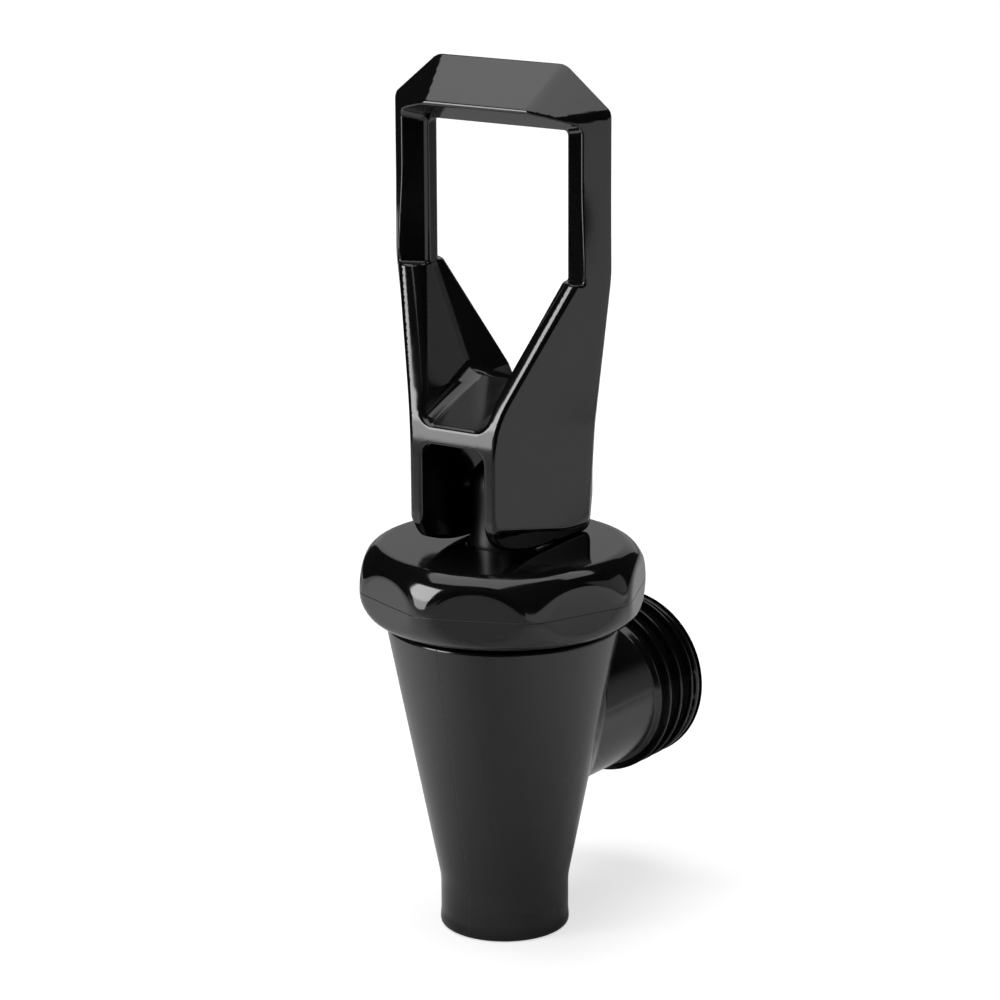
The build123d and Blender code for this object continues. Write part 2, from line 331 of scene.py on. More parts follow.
class NodeGraph:
    """Node tree of one material, world or Geometry Nodes modifier.

    A Mix node has several sockets of one name, so its colours go by number.
    """

    MIX_FIRST = 6
    MIX_SECOND = 7
    MIX_RESULT = 2

    def __init__(self, tree: bpy.types.NodeTree) -> None:
        """Start from an empty tree."""
        self.tree = tree
        tree.nodes.clear()

    def node(self, kind: str, inputs: dict | None = None, **settings: str) -> Outputs:
        """Add a node.

        Args:
            kind: Blender's type name of the node.
            inputs: Value or wire of each input, by name or number.
            settings: Attributes to set first, such as a Math node's operation.

        Returns:
            The node's outputs.
        """
        node = self.tree.nodes.new(kind)
        for key, value in settings.items():
            setattr(node, key, value)
        for key, value in (inputs or {}).items():
            if isinstance(value, Wire):
                self.tree.links.new(value.socket, node.inputs[key])
            else:
                node.inputs[key].default_value = value
        return Outputs(self, node)

    def mix(self, share: Wire, first: Triple, second: Triple) -> Wire:
        """Blend two colours."""
        colours = {"Factor": share, self.MIX_FIRST: (*first, 1.0), self.MIX_SECOND: (*second, 1.0)}
        node = self.node("ShaderNodeMix", colours, data_type="RGBA")
        return Wire(self, node.node.outputs[self.MIX_RESULT])

    def noise(self, where: Wire, scale: float, detail: float = 2.0) -> Wire:
        """Noise from 0 to 1 at a scale in waves a metre."""
        inputs = {"Vector": where, "Scale": scale, "Detail": detail}
        return self.node("ShaderNodeTexNoise", inputs)["Fac"]

    def vector(self, operation: str, inputs: dict) -> Outputs:
        """Add a Vector Math node."""
        return self.node("ShaderNodeVectorMath", inputs, operation=operation)

    def stretch(self, where: Wire, scale: Triple) -> Wire:
        """Scale coordinates along the axes."""
        return self.node("ShaderNodeMapping", {"Vector": where, "Scale": scale})["Vector"]

    def bump(self, height: Wire) -> Wire:
        """Normal of a relief whose height is in millimetres."""
        return self.node("ShaderNodeBump", {"Height": height * MM, "Distance": 1.0})["Normal"]

    def principled(self, inputs: dict) -> None:
        """End a material in a Principled shader."""
        shader = self.node("ShaderNodeBsdfPrincipled", inputs)["BSDF"]
        self.node("ShaderNodeOutputMaterial", {"Surface": shader})


def new_material(name: str) -> tuple[Material, NodeGraph, Wire]:
    """Start a material.

    Args:
        name: Name of the material.

    Returns:
        The material, its graph, and the Object coordinates in it.
    """
    material = bpy.data.materials.new(name)
    material.use_nodes = True
    graph = NodeGraph(material.node_tree)
    return material, graph, graph.node("ShaderNodeTexCoord")["Object"]


class Parting(Enum):
    """Where the mould's parting line shows on a moulding."""

    NONE = "none"
    MIDDLE = "middle"
    BELT = "belt"


@dataclass(frozen=True)
class MouldedGloss:
    """Gloss moulded plastic with faint flow waviness, handling haze and a parting line."""

    name: str
    colour: Triple = (0.0045, 0.0045, 0.0048)
    haze_colour: Triple = (0.0070, 0.0070, 0.0073)
    roughness: float = 0.09
    ior: float = 1.5
    haze_roughness: float = 0.07
    haze_scale: float = 55.0
    haze_range: tuple[float, float] = (0.42, 0.72)
    wipe_scale: float = 900.0
    wipe_stretch: Triple = (1.0, 1.0, 0.16)
    wipe_range: tuple[float, float] = (0.60, 0.78)
    wipe_share: float = 0.6
    wave_scale: float = 170.0
    wave_depth: float = 0.010
    speck_scale: float = 2600.0
    speck_depth: float = 0.0015
    parting: Parting = Parting.NONE
    parting_level: float = 0.0
    parting_width: float = 0.11
    parting_core: float = 0.2
    parting_depth: float = 0.05
    parting_roughness: float = 0.25

    def material(self) -> Material:
        """Build the material."""
        material, graph, where = new_material(self.name)
        haze = graph.noise(where, self.haze_scale, detail=5.0).between(*self.haze_range)
        wiped = graph.stretch(where, self.wipe_stretch)
        wipes = graph.noise(wiped, self.wipe_scale).between(*self.wipe_range)
        roughness = (haze + wipes * self.wipe_share) * self.haze_roughness + self.roughness
        height = graph.noise(where, self.wave_scale, detail=1.0) * self.wave_depth
        height = height + graph.noise(where, self.speck_scale) * self.speck_depth
        line = self.parting_line(graph, where)
        if line is not None:
            height = height - line * self.parting_depth
            roughness = roughness + line * self.parting_roughness
        graph.principled(
            {
                "Base Color": graph.mix(haze, self.colour, self.haze_colour),
                "Roughness": roughness,
                "IOR": self.ior,
                "Normal": graph.bump(height),
            }
        )
        return material

    def parting_line(self, graph: NodeGraph, where: Wire) -> Wire | None:
        """Mask of the parting line, 1 in its middle."""
        if self.parting is Parting.NONE:
            return None
        along = "X" if self.parting is Parting.MIDDLE else "Z"
        axis = graph.node("ShaderNodeSeparateXYZ", {"Vector": where})[along]
        off = (axis - self.parting_level * MM).size()
        return 1.0 - off.between(self.parting_core * self.parting_width * MM, self.parting_width * MM)


@dataclass(frozen=True)
class DrawnSteel:
    """Bright stainless steel with fine drawing marks along one axis."""

    name: str
    colour: Triple = (0.60, 0.60, 0.62)
    dull_colour: Triple = (0.46, 0.46, 0.48)
    roughness: float = 0.22
    mark_roughness: float = 0.2
    mark_depth: float = 0.01
    grain: Triple = (60.0, 2200.0, 2200.0)

    def material(self) -> Material:
        """Build the material."""
        material, graph, where = new_material(self.name)
        marks = graph.noise(graph.stretch(where, self.grain), scale=1.0, detail=3.0)
        graph.principled(
            {
                "Base Color": graph.mix(marks, self.dull_colour, self.colour),
                "Metallic": 1.0,
                "Roughness": marks * self.mark_roughness + self.roughness,
                "Normal": graph.bump(marks * self.mark_depth),
            }
        )
        return material


@dataclass(frozen=True)
class SoftSilicone:
    """Milky silicone with a fine satin skin."""

    name: str
    colour: Triple = (0.70, 0.69, 0.65)
    clouded_colour: Triple = (0.62, 0.60, 0.55)
    cloud_scale: float = 120.0
    roughness: float = 0.42
    skin_scale: float = 3500.0
    skin_roughness: float = 0.12
    skin_depth: float = 0.02
    glow_through: float = 0.15
    glow_reach: Triple = (0.002, 0.002, 0.0015)

    def material(self) -> Material:
        """Build the material."""
        material, graph, where = new_material(self.name)
        cloud = graph.noise(where, self.cloud_scale, detail=4.0)
        skin = graph.noise(where, self.skin_scale)
        graph.principled(
            {
                "Base Color": graph.mix(cloud, self.colour, self.clouded_colour),
                "Roughness": skin * self.skin_roughness + self.roughness,
                "Subsurface Weight": self.glow_through,
                "Subsurface Radius": self.glow_reach,
                "Normal": graph.bump(skin * self.skin_depth),
            }
        )
        return material


def dress(piece: Object, finish: Material) -> Object:
    """Give a piece one finish all over, and hand it back."""
    piece.data.materials.clear()
    piece.data.materials.append(finish)
    return piece


def settle(piece: Object, body: str, slot: str, *nodes: str) -> None:
    """Set a piece on a body of the frame, in place of CAD nodes.

    Args:
        piece: The finished piece.
        body: Body that it moves with.
        slot: Not used.
        nodes: CAD nodes that it stands for.
    """
    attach(piece, body)
    if nodes:
        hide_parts(*nodes)
    LOG.info("%s rides on %s with %d faces", piece.name, body, len(piece.data.polygons))


@dataclass
class LoopHandle:
    """Loop handle: faceted bar and legs, flared plates, gabled web and rocker foot in one moulding."""

    top_z: float = 130.0
    crown_rise: float = 6.15
    brow_depth: float = 7.15
    brow_half_length: float = 9.13
    ridge_half_length: float = 10.95
    shoulder_half_width: float = 18.73
    shoulder_z: float = 123.70
    window_top_z: float = 120.85
    window_half_width: float = 11.9
    flat_depth: float = 0.9
    soffit_rise: float = 3.0
    reveal_depth: float = 1.4
    leg_edge_half_width: float = 15.61
    leg_edge_depth: float = 2.85
    leg_edge_flat: float = 0.3
    leg_foot_z: float = 100.4
    leg_root: float = 2.0
    plate_top_z: float = 99.7
    flare_start: tuple[float, float] = (15.36, 4.05)
    plate_end: tuple[float, float] = (7.1, 13.25)
    flare_lean: float = 30.9
    flare_bend: float = 19.5
    strip_width: float = 1.75
    bevel_levels: Levels = (83.2, 92.0, 99.7)
    bevel_turns: Levels = (67.0, 55.0, 50.0)
    vee_turn: float = 0.07
    vee_foot_z: float = 83.2
    pocket_half_width: float = 5.3
    ridge_mid: tuple[float, float] = (78.4, 15.9)
    ridge_foot: tuple[float, float] = (59.45, 14.75)
    ridge_bend: float = 1.4
    turn_height: float = 15.0
    web_ridge_z: float = 83.7
    web_edge_z: float = 78.4
    web_depth: float = 13.25
    web_thickness: float = 2.6
    wing_foot_z: float = 63.0
    wing_rise: float = 0.1
    wing_corner: float = 2.5
    rocker_radius: float = 29.0
    toe_corner: float = 3.0
    heel_corner: float = 2.3
    heel_drop: float = 0.24
    heel_run: float = 6.0
    pin_z: float = 67.5
    pin_radius: float = 1.5
    pin_seat_x: float = -9.0
    edge: float = 0.42
    outer_edge: float = 0.5
    fine_edge: float = 0.28
    bevel_edge: float = 0.65
    reveal_edge: float = 0.75
    foot_edge: float = 0.7
    leg_edge: float = 0.25
    brow_edge: float = 0.7
    web_fillet: float = 1.9
    window_fillet: float = 0.8
    wing_fillet: float = 0.9
    edge_blend: float = 1.0
    pin_play: float = 0.03
    pin_mouth: float = 0.2
    lean_step: float = 0.02
    cell: float = 0.36

    def build(self) -> Object:
        """Make the handle's mesh."""
        net = SurfaceNet(self.cell)
        wide = net.half(self.shoulder_half_width)
        deep = net.half(self.plate_end[1])
        low = (-wide, -deep, self.ridge_foot[0] - net.margin)
        high = (wide, deep, self.top_z + net.margin)
        return net.piece("handle_loop", self.solid, low, high)

    def solid(self, x: Array, y: Array, z: Array) -> Distance:
        """Signed distance to the handle."""
        across = np.abs(x)
        deep = np.abs(y)
        plate = join(self.leaned(self.plate_wall, across, deep, z), self.web(deep, z), self.web_fillet)
        plate = meet(plate, self.leaned(self.front, across, deep, z), self.edge)
        plate = meet(plate, z - self.plate_top_z, self.fine_edge)
        leg = np.maximum(self.leg_wall(across, deep), self.plate_top_z - self.leg_root - z)
        core = join(join(leg, plate, self.fine_edge), self.bar(deep, z), self.window_fillet)
        blend = (self.leg_foot_z, self.leg_foot_z + self.edge_blend)
        outer_edge = np.interp(z, blend, (self.outer_edge, self.leg_edge))
        core = meet(core, self.leaned(self.outer_wall, across, deep, z), outer_edge)
        core = meet(core, self.roof(deep, z), self.brow_edge)
        core = meet(core, self.end_facet(across, deep, z), self.edge)
        core = meet(core, self.foot(across, y, z), self.foot_edge)
        hole = np.hypot(y, z - self.pin_z) - self.pin_radius - self.pin_play
        return cut(core, np.maximum(hole, x - self.pin_seat_x), self.pin_mouth)

    def leaned(self, wall: Solid, across: Array, deep: Array, z: Array) -> Distance:
        """Distance to a wall that is given level by level, corrected for its lean."""
        here = wall(across, deep, z)
        lean = (wall(across, deep, z + self.lean_step) - here) / self.lean_step
        return here / np.sqrt(1 + lean**2)

    def edge_line(self, z: Array) -> tuple[Array, Array]:
        """Half width and depth of the plates' front edge at each height."""
        run_x = self.flare_start[0] - self.plate_end[0]
        run_y = self.plate_end[1] - self.flare_start[1]
        full = math.hypot(run_x, run_y)
        lean = math.radians(self.flare_lean)
        straight = full - self.flare_bend * (1 - math.cos(lean))
        bend_start = self.plate_top_z - straight / math.tan(lean)
        bend_end = bend_start - self.flare_bend * math.sin(lean)
        sine = np.clip((z - bend_end) / self.flare_bend, 0, math.sin(lean))
        bent = full - self.flare_bend * (1 - np.sqrt(1 - sine**2))
        run = np.where(z > bend_start, (self.plate_top_z - z) * math.tan(lean), bent)
        return self.flare_start[0] - run_x * run / full, self.flare_start[1] + run_y * run / full

    def outer_wall(self, across: Array, deep: Array, z: Array) -> Distance:
        """Outer faces of the legs and plates, from the side ridge to the front edge."""
        low = np.minimum(z, self.plate_top_z)
        edge_x, edge_y = self.edge_line(low)
        plate_turn = np.arctan2(edge_y, self.side_ridge(low) - edge_x)
        leg_turn = math.atan2(self.leg_edge_depth, self.shoulder_half_width - self.leg_edge_half_width)
        rise = ease((z - self.plate_top_z) / self.turn_height)
        turn = plate_turn + rise * (leg_turn - plate_turn)
        return (across - self.side_ridge(z)) * np.sin(turn) + deep * np.cos(turn)

    def side_ridge(self, z: Array) -> Array:
        """Half width of the side ridge at each height, with soft bends."""
        foot_z, foot_x = self.ridge_foot
        mid_z, mid_x = self.ridge_mid
        low_slope = (mid_x - foot_x) / (mid_z - foot_z)
        high_slope = (self.shoulder_half_width - mid_x) / (self.leg_foot_z - mid_z)
        lower = foot_x + low_slope * (np.maximum(z, foot_z) - foot_z)
        upper = (high_slope - low_slope) * soft_ramp(z - mid_z, self.ridge_bend)
        return lower + upper - high_slope * soft_ramp(z - self.leg_foot_z, self.ridge_bend)

    def leg_wall(self, across: Array, deep: Array) -> Distance:
        """Inner faces of the legs: a narrow flat, and reveals that slant out to both edges."""
        run_x = self.leg_edge_half_width - self.leg_edge_flat - self.window_half_width
        run_y = self.leg_edge_depth - self.reveal_depth
        reveal = run_x * (deep - self.reveal_depth) - run_y * (across - self.window_half_width)
        return meet(reveal / math.hypot(run_x, run_y), self.window_half_width - across, self.reveal_edge)

    def plate_wall(self, across: Array, deep: Array, z: Array) -> Distance:
        """Inner faces of the plates, with a bevel along their front and back edges."""
        levels = (self.vee_foot_z, self.plate_top_z)
        inner = np.interp(z, levels, (self.pocket_half_width, self.window_half_width))
        spread = np.interp(z, (self.web_edge_z, self.vee_foot_z), (0.0, self.vee_turn))
        main = inner + spread * np.maximum(deep - self.flat_depth, 0) - across
        edge_x, edge_y = self.edge_line(z)
        turn = np.radians(np.interp(z, self.bevel_levels, self.bevel_turns))
        bevel = (deep - edge_y) * np.sin(turn) - (across - edge_x + self.strip_width) * np.cos(turn)
        return meet(main, bevel, self.bevel_edge)

    def front(self, across: Array, deep: Array, z: Array) -> Distance:
        """Front and back edges of the plates."""
        return deep - self.edge_line(z)[1]

    def web(self, deep: Array, z: Array) -> Distance:
        """Gabled web between the plates."""
        fall = (self.web_ridge_z - self.web_edge_z) / self.web_depth
        middle = self.web_ridge_z - self.web_thickness / 2 - fall * deep
        return (np.abs(z - middle) - self.web_thickness / 2) / math.hypot(1, fall)

    def bar(self, deep: Array, z: Array) -> Distance:
        """Top bar above the window's flat and its sloping soffits."""
        slope = self.soffit_rise / (self.brow_depth - self.flat_depth)
        soffit = (self.window_top_z + slope * (deep - self.flat_depth) - z) / math.hypot(1, slope)
        return np.maximum(soffit, self.window_top_z - z)

    def roof(self, deep: Array, z: Array) -> Distance:
        """Roof faces that fall from the crown's ridge to the brows."""
        length = math.hypot(self.crown_rise, self.brow_depth)
        return (deep * self.crown_rise + (z - self.top_z) * self.brow_depth) / length

    def end_facet(self, across: Array, deep: Array, z: Array) -> Distance:
        """Sloping facets from the ends of the ridge to the shoulders."""
        ridge_end = np.array((self.ridge_half_length, 0, self.top_z))
        brow_end = np.array((self.brow_half_length, self.brow_depth, self.top_z - self.crown_rise))
        shoulder = np.array((self.shoulder_half_width, 0, self.shoulder_z))
        normal = np.cross(shoulder - ridge_end, brow_end - ridge_end)
        normal = normal * np.sign(normal[0]) / np.linalg.norm(normal)
        return across * normal[0] + deep * normal[1] + z * normal[2] - ridge_end @ normal

    def foot(self, across: Array, y: Array, z: Array) -> Distance:
        """Underside: ribs that rock on the front and stand flat at the back, and wings that end higher."""
        centre = self.ridge_foot[0] + self.rocker_radius
        sole = np.hypot(np.minimum(y, 0), np.minimum(z - centre, 0)) - self.rocker_radius
        sole = sole - self.heel_drop * np.clip(y / self.heel_run, 0, 1)
        sole = meet(sole, -y - self.plate_end[1], self.toe_corner)
        sole = meet(sole, y - self.plate_end[1], self.heel_corner)
        wing = self.wing_foot_z + self.wing_rise * np.abs(y) - z
        wing = meet(wing, across - self.side_ridge(z), self.wing_corner)
        return meet(sole, join(across - self.plate_end[0], wing, self.wing_fillet), self.edge)


@dataclass
class ScrewBonnet:
    """Thick screw cap with an elliptic belly, soft-edged flats and a guide hole for the stem."""

    foot_z: float = 47.9
    belly_z: float = 52.85
    top_z: float = 59.15
    radius: float = 21.33
    top_radius: float = 17.6
    foot_radius: float = 17.7
    flat_count: int = 8
    flat_distance: float = 20.2
    flat_softness: float = 0.45
    guide_radius: float = 5.2
    bore_radius: float = 14.9
    ceiling_z: float = 56.75
    top_edge: float = 0.5
    edge_bulge: float = 0.3
    inner_edge: float = 0.4
    guide_edge: float = 0.3
    deck_gap: float = 0.2
    deck_points: int = 14
    rows: int = 40
    segments: int = 480

    def profile(self) -> Array:
        """Closed half section, from the guide hole over the top and round to the bore."""
        turn = np.linspace(0, math.pi / 2, self.rows)
        bulge = self.top_radius + (self.radius - self.top_radius) * np.sin(turn)
        upper = np.stack((bulge, self.belly_z + (self.top_z - self.belly_z) * np.cos(turn)), 1)
        bulge = self.foot_radius + (self.radius - self.foot_radius) * np.cos(turn)
        lower = np.stack((bulge, self.belly_z - (self.belly_z - self.foot_z) * np.sin(turn)), 1)
        lead = self.top_edge
        soft = self.edge_bulge * lead
        inner = self.inner_edge
        rim = [
            (self.guide_radius, self.top_z - lead),
            (self.guide_radius + soft, self.top_z - soft),
            (self.guide_radius + lead, self.top_z),
        ]
        deck_start = self.guide_radius + 2 * lead
        deck_end = self.top_radius - self.deck_gap
        deck = [(radius, self.top_z) for radius in np.linspace(deck_start, deck_end, self.deck_points)]
        under = [
            (self.foot_radius - inner, self.foot_z),
            (self.bore_radius + inner, self.foot_z),
            (self.bore_radius, self.foot_z + inner),
            (self.bore_radius, self.ceiling_z - inner),
            (self.bore_radius - inner, self.ceiling_z),
            (self.guide_radius + self.guide_edge, self.ceiling_z),
            (self.guide_radius, self.ceiling_z + self.guide_edge),
        ]
        return np.concatenate((rim, deck, upper, lower[1:], under))

    def build(self) -> Object:
        """Make the bonnet's mesh."""
        profile = self.profile()
        angle = np.linspace(0, 2 * math.pi, self.segments, endpoint=False)
        pitch = 2 * math.pi / self.flat_count
        from_flat = (angle - math.pi / self.flat_count + math.pi / 2) % pitch
        flat = self.flat_distance / np.cos(np.minimum(from_flat, pitch - from_flat))
        radius = np.broadcast_to(profile[:, :1], (len(profile), self.segments))
        near = np.maximum(self.flat_softness - np.abs(radius - flat), 0) / self.flat_softness
        radius = np.minimum(radius, flat) - near**2 * self.flat_softness / 4
        height = np.broadcast_to(profile[:, 1:], radius.shape)
        points = np.stack((radius * np.cos(angle), radius * np.sin(angle), height), axis=2).reshape(-1, 3)
        rows, columns = np.meshgrid(np.arange(len(profile)), np.arange(self.segments), indexing="ij")
        here = rows * self.segments
        below = (rows + 1) % len(profile) * self.segments
        beside = (columns + 1) % self.segments
        faces = np.stack((here + columns, below + columns, below + beside, here + beside), axis=2)
        return mesh_object("bonnet_cap", points, faces.reshape(-1, 4))


@dataclass
class TapBody:
    """Conical barrel with a straight nozzle, a neck, a chamber and a side shank."""

    nozzle_radius: float = 9.55
    lip_swell: float = 0.1
    lip_height: float = 2.6
    nozzle_height: float = 7.4
    cone_turn: float = 1.0
    top_radius: float = 17.4
    top_z: float = 47.2
    top_edge: float = 0.55
    neck_radius: float = 14.6
    neck_top_z: float = 53.8
    outlet_radius: float = 7.4
    throat_z: float = 14.0
    seat_z: float = 15.4
    chamber_foot_z: float = 17.0
    chamber_foot_radius: float = 10.2
    chamber_top_radius: float = 12.2
    shank_z: float = 29.85
    shank_radius: float = 11.75
    root_radius: float = 12.3
    land_radius: float = 13.15
    land_width: float = 1.15
    land_end: float = 140.0
    land_fall: float = 0.08
    land_edge: float = 0.3
    root_rise: float = 1.2
    shank_end_y: float = 35.1
    thread_start_y: float = 23.7
    inlet_radius: float = 8.6
    inlet_depth: float = 20.0
    port_radius: float = 6.5
    shank_fillet: float = 0.9
    rim_edge: float = 0.6
    mouth_edge: float = 0.7
    neck_edge: float = 0.4
    neck_root: float = 2.0
    neck_fillet: float = 0.2
    lip_share: float = 0.7
    seat_flare: float = 1.2
    path_lean: float = 0.8
    cell: float = 0.45

    def build(self) -> Object:
        """Make the body's mesh."""
        net = SurfaceNet(self.cell)
        wide = net.half(self.top_radius)
        high = (wide, self.shank_end_y + net.margin, self.neck_top_z + net.margin)
        return net.piece("body_moulding", self.solid, (-wide, -wide, -net.margin), high)

    def solid(self, x: Array, y: Array, z: Array) -> Distance:
        """Signed distance to the body."""
        radius = np.hypot(x, y)
        barrel = meet(self.barrel(radius, z), z - self.top_z, self.top_edge)
        barrel = meet(barrel, -z, self.mouth_edge)
        reach = np.hypot(x, z - self.shank_z)
        rise = ease((y - self.thread_start_y) / self.root_rise)
        core = self.shank_radius + (self.root_radius - self.shank_radius) * rise
        turn = np.degrees(np.abs(np.arctan2(z - self.shank_z, x)))
        land = self.land_radius - self.land_fall * np.maximum(turn - self.land_end, 0)
        land = meet(reach - land, self.shank_end_y - self.land_width - y, self.land_edge)
        shank = meet(join(reach - core, land, self.land_edge), y - self.shank_end_y, self.rim_edge)
        whole = join(barrel, np.maximum(shank, -y), self.shank_fillet)
        neck = meet(radius - self.neck_radius, z - self.neck_top_z, self.neck_edge)
        whole = join(whole, np.maximum(neck, self.top_z - self.neck_root - z), self.neck_fillet)
        whole = cut(whole, self.flow_path(radius, z), self.mouth_edge)
        inlet = np.maximum(reach - self.inlet_radius, self.shank_end_y - self.inlet_depth - y)
        inlet = np.minimum(inlet, np.maximum(reach - self.port_radius, -y))
        return cut(whole, inlet, self.mouth_edge)

    def barrel(self, radius: Array, z: Array) -> Distance:
        """Outside of the nozzle and cone."""
        slope = (self.top_radius - self.nozzle_radius) / (self.top_z - self.nozzle_height)
        lip = self.lip_swell * ease((self.lip_height - z) / (self.lip_share * self.lip_height))
        wall = self.nozzle_radius + slope * soft_ramp(z - self.nozzle_height, self.cone_turn)
        return (radius - wall - lip) / math.hypot(1, slope)

    def flow_path(self, radius: Array, z: Array) -> Distance:
        """Room inside: outlet, seat and chamber."""
        levels = (self.throat_z, self.seat_z, self.chamber_foot_z, self.neck_top_z)
        seat = self.outlet_radius + self.seat_flare
        walls = (self.outlet_radius, seat, self.chamber_foot_radius, self.chamber_top_radius)
        return (radius - np.interp(z, levels, walls)) * self.path_lean


class Section(Enum):
    """Section that a helix sweeps."""

    WIRE = "wire"
    THREAD = "thread"


@dataclass
class Helix:
    """Helix swept by a Geometry Nodes tree: a coil of wire or a thread's ridge."""

    name: str
    section: Section
    radius: float
    turns: float
    height: float
    foot_width: float
    crest_width: float = 0.0
    depth: float = 0.0
    corner: float = 0.2
    sink: float = 0.0
    high_face: float = 1000.0
    run_out_turns: float = 0.45
    points_per_turn: int = 72
    wire_sides: int = 14
    corner_points: int = 4

    def build(self, finish: Material, place: Matrix) -> Object:
        """Run the tree and make its result a plain mesh.

        Args:
            finish: Material that the tree sets.
            place: Where the helix's foot and axis go, in metres.

        Returns:
            The swept object, with its place in its mesh.
        """
        carrier = linked(self.name, bpy.data.meshes.new(self.name))
        modifier = carrier.modifiers.new("helix", "NODES")
        modifier.node_group = self.tree(finish)
        sizes = self.sizes()
        for item in modifier.node_group.interface.items_tree:
            if item.name in sizes:
                modifier[item.identifier] = sizes[item.name]
        carrier.update_tag()
        graph = bpy.context.evaluated_depsgraph_get()
        mesh = bpy.data.meshes.new_from_object(carrier.evaluated_get(graph))
        carrier.modifiers.clear()
        mesh.transform(place)
        carrier.data = mesh
        mesh.name = self.name
        mesh.shade_smooth()
        return carrier

    def sizes(self) -> dict[str, float]:
        """Named inputs of the tree, in metres but for the turns."""
        return {
            "Radius": self.radius * MM,
            "Turns": self.turns,
            "Height": self.height * MM,
            "Foot Width": self.foot_width * MM,
            "Crest Width": self.crest_width * MM,
            "Depth": self.depth * MM,
            "Sink": self.sink * MM,
            "High Face": self.high_face * MM,
        }

    def tree(self, finish: Material) -> bpy.types.NodeTree:
        """Build the tree: spiral, run-out, section, sweep, flush end and finish."""
        tree = bpy.data.node_groups.new(f"{self.name}_tree", "GeometryNodeTree")
        tree.interface.new_socket("Geometry", in_out="OUTPUT", socket_type="NodeSocketGeometry")
        for label in self.sizes():
            tree.interface.new_socket(label, in_out="INPUT", socket_type="NodeSocketFloat")
        graph = NodeGraph(tree)
        size = graph.node("NodeGroupInput")
        spiral = graph.node(
            "GeometryNodeCurveSpiral",
            {
                "Resolution": self.points_per_turn,
                "Rotations": size["Turns"],
                "Start Radius": size["Radius"],
                "End Radius": size["Radius"],
                "Height": size["Height"],
            },
        )["Curve"]
        moved = {"Geometry": spiral, "Offset": self.run_out(graph, size)}
        sunk = graph.node("GeometryNodeSetPosition", moved)["Geometry"]
        upright = graph.node("GeometryNodeSetCurveNormal", {"Curve": sunk}, mode="Z_UP")["Curve"]
        sweep = {"Curve": upright, "Profile Curve": self.profile(graph, size), "Fill Caps": True}
        swept = graph.node("GeometryNodeCurveToMesh", sweep)["Mesh"]
        held = {"Geometry": swept, "Position": self.flush_end(graph, size)}
        flush = graph.node("GeometryNodeSetPosition", held)["Geometry"]
        real = graph.node("GeometryNodeRealizeInstances", {"Geometry": flush})["Geometry"]
        paint = {"Geometry": real, "Material": finish}
        painted = graph.node("GeometryNodeSetMaterial", paint)["Geometry"]
        graph.node("NodeGroupOutput", {"Geometry": painted})
        return tree

    def run_out(self, graph: NodeGraph, size: Outputs) -> Wire:
        """Offset that sinks the helix's first part of a turn into its core."""
        place = graph.node("GeometryNodeInputPosition")["Position"]
        level = graph.vector("MULTIPLY", {0: place, 1: (1.0, 1.0, 0.0)})["Vector"]
        outward = graph.vector("NORMALIZE", {0: level})["Vector"]
        along = graph.node("GeometryNodeSplineParameter")["Factor"]
        depth = (along * size["Turns"]).between(0.0, self.run_out_turns) * size["Sink"] - size["Sink"]
        return graph.vector("SCALE", {0: outward, "Scale": depth})["Vector"]

    def flush_end(self, graph: NodeGraph, size: Outputs) -> Wire:
        """Position with the height held below the end face."""
        place = graph.node("GeometryNodeInputPosition")["Position"]
        parts = graph.node("ShaderNodeSeparateXYZ", {0: place})
        held = {"X": parts["X"], "Y": parts["Y"], "Z": parts["Z"].math("MINIMUM", size["High Face"])}
        return graph.node("ShaderNodeCombineXYZ", held)["Vector"]

    def profile(self, graph: NodeGraph, size: Outputs) -> Wire:
        """Section curve: a round wire, or a thread ridge with rounded corners."""
        if self.section is Section.WIRE:
            circle = {"Resolution": self.wire_sides, "Radius": size["Foot Width"] * 0.5}
            return graph.node("GeometryNodeCurvePrimitiveCircle", circle)["Curve"]
        widths = {
            "Bottom Width": size["Crest Width"],
            "Top Width": size["Foot Width"],
            "Height": size["Depth"],
            "Offset": 0.0,
        }
        ridge = graph.node("GeometryNodeCurvePrimitiveQuadrilateral", widths, mode="TRAPEZOID")["Curve"]
        corners = {
            "Curve": ridge,
            "Count": self.corner_points,
            "Radius": self.corner * MM,
            "Limit Radius": True,
        }
        return graph.node("GeometryNodeFilletCurve", corners, mode="POLY")["Curve"]


@dataclass
class ShankThread:
    """Thread's ridge on the shank of a body, cut flush with the shank's end."""

    body: TapBody
    crest_radius: float = 13.22
    pitch: float = 3.2
    crest_width: float = 0.5
    foot_width: float = 1.7
    bury: float = 0.25
    start_angle: float = 200.0
    end_gap: float = 0.02
    points_per_turn: int = 120

    def helix(self) -> Helix:
        """Helix of the ridge, sunk a little into the shank's core."""
        depth = self.crest_radius - self.body.root_radius + self.bury
        length = self.body.shank_end_y - self.body.thread_start_y
        rise = length + self.foot_width / 2
        return Helix(
            "shank_thread",
            Section.THREAD,
            self.crest_radius - depth / 2,
            rise / self.pitch,
            rise,
            self.foot_width,
            self.crest_width,
            depth,
            sink=depth,
            high_face=length - self.foot_width / 2 - self.end_gap,
            points_per_turn=self.points_per_turn,
        )

    def place(self) -> Matrix:
        """Matrix from the helix's own axis to the shank's."""
        start = (self.body.thread_start_y + self.foot_width / 2) * MM
        foot = Matrix.Translation((0.0, start, self.body.shank_z * MM))
        lie_back = foot @ Matrix.Rotation(-math.pi / 2, 4, "X")
        return lie_back @ Matrix.Rotation(math.radians(self.start_angle), 4, "Z")


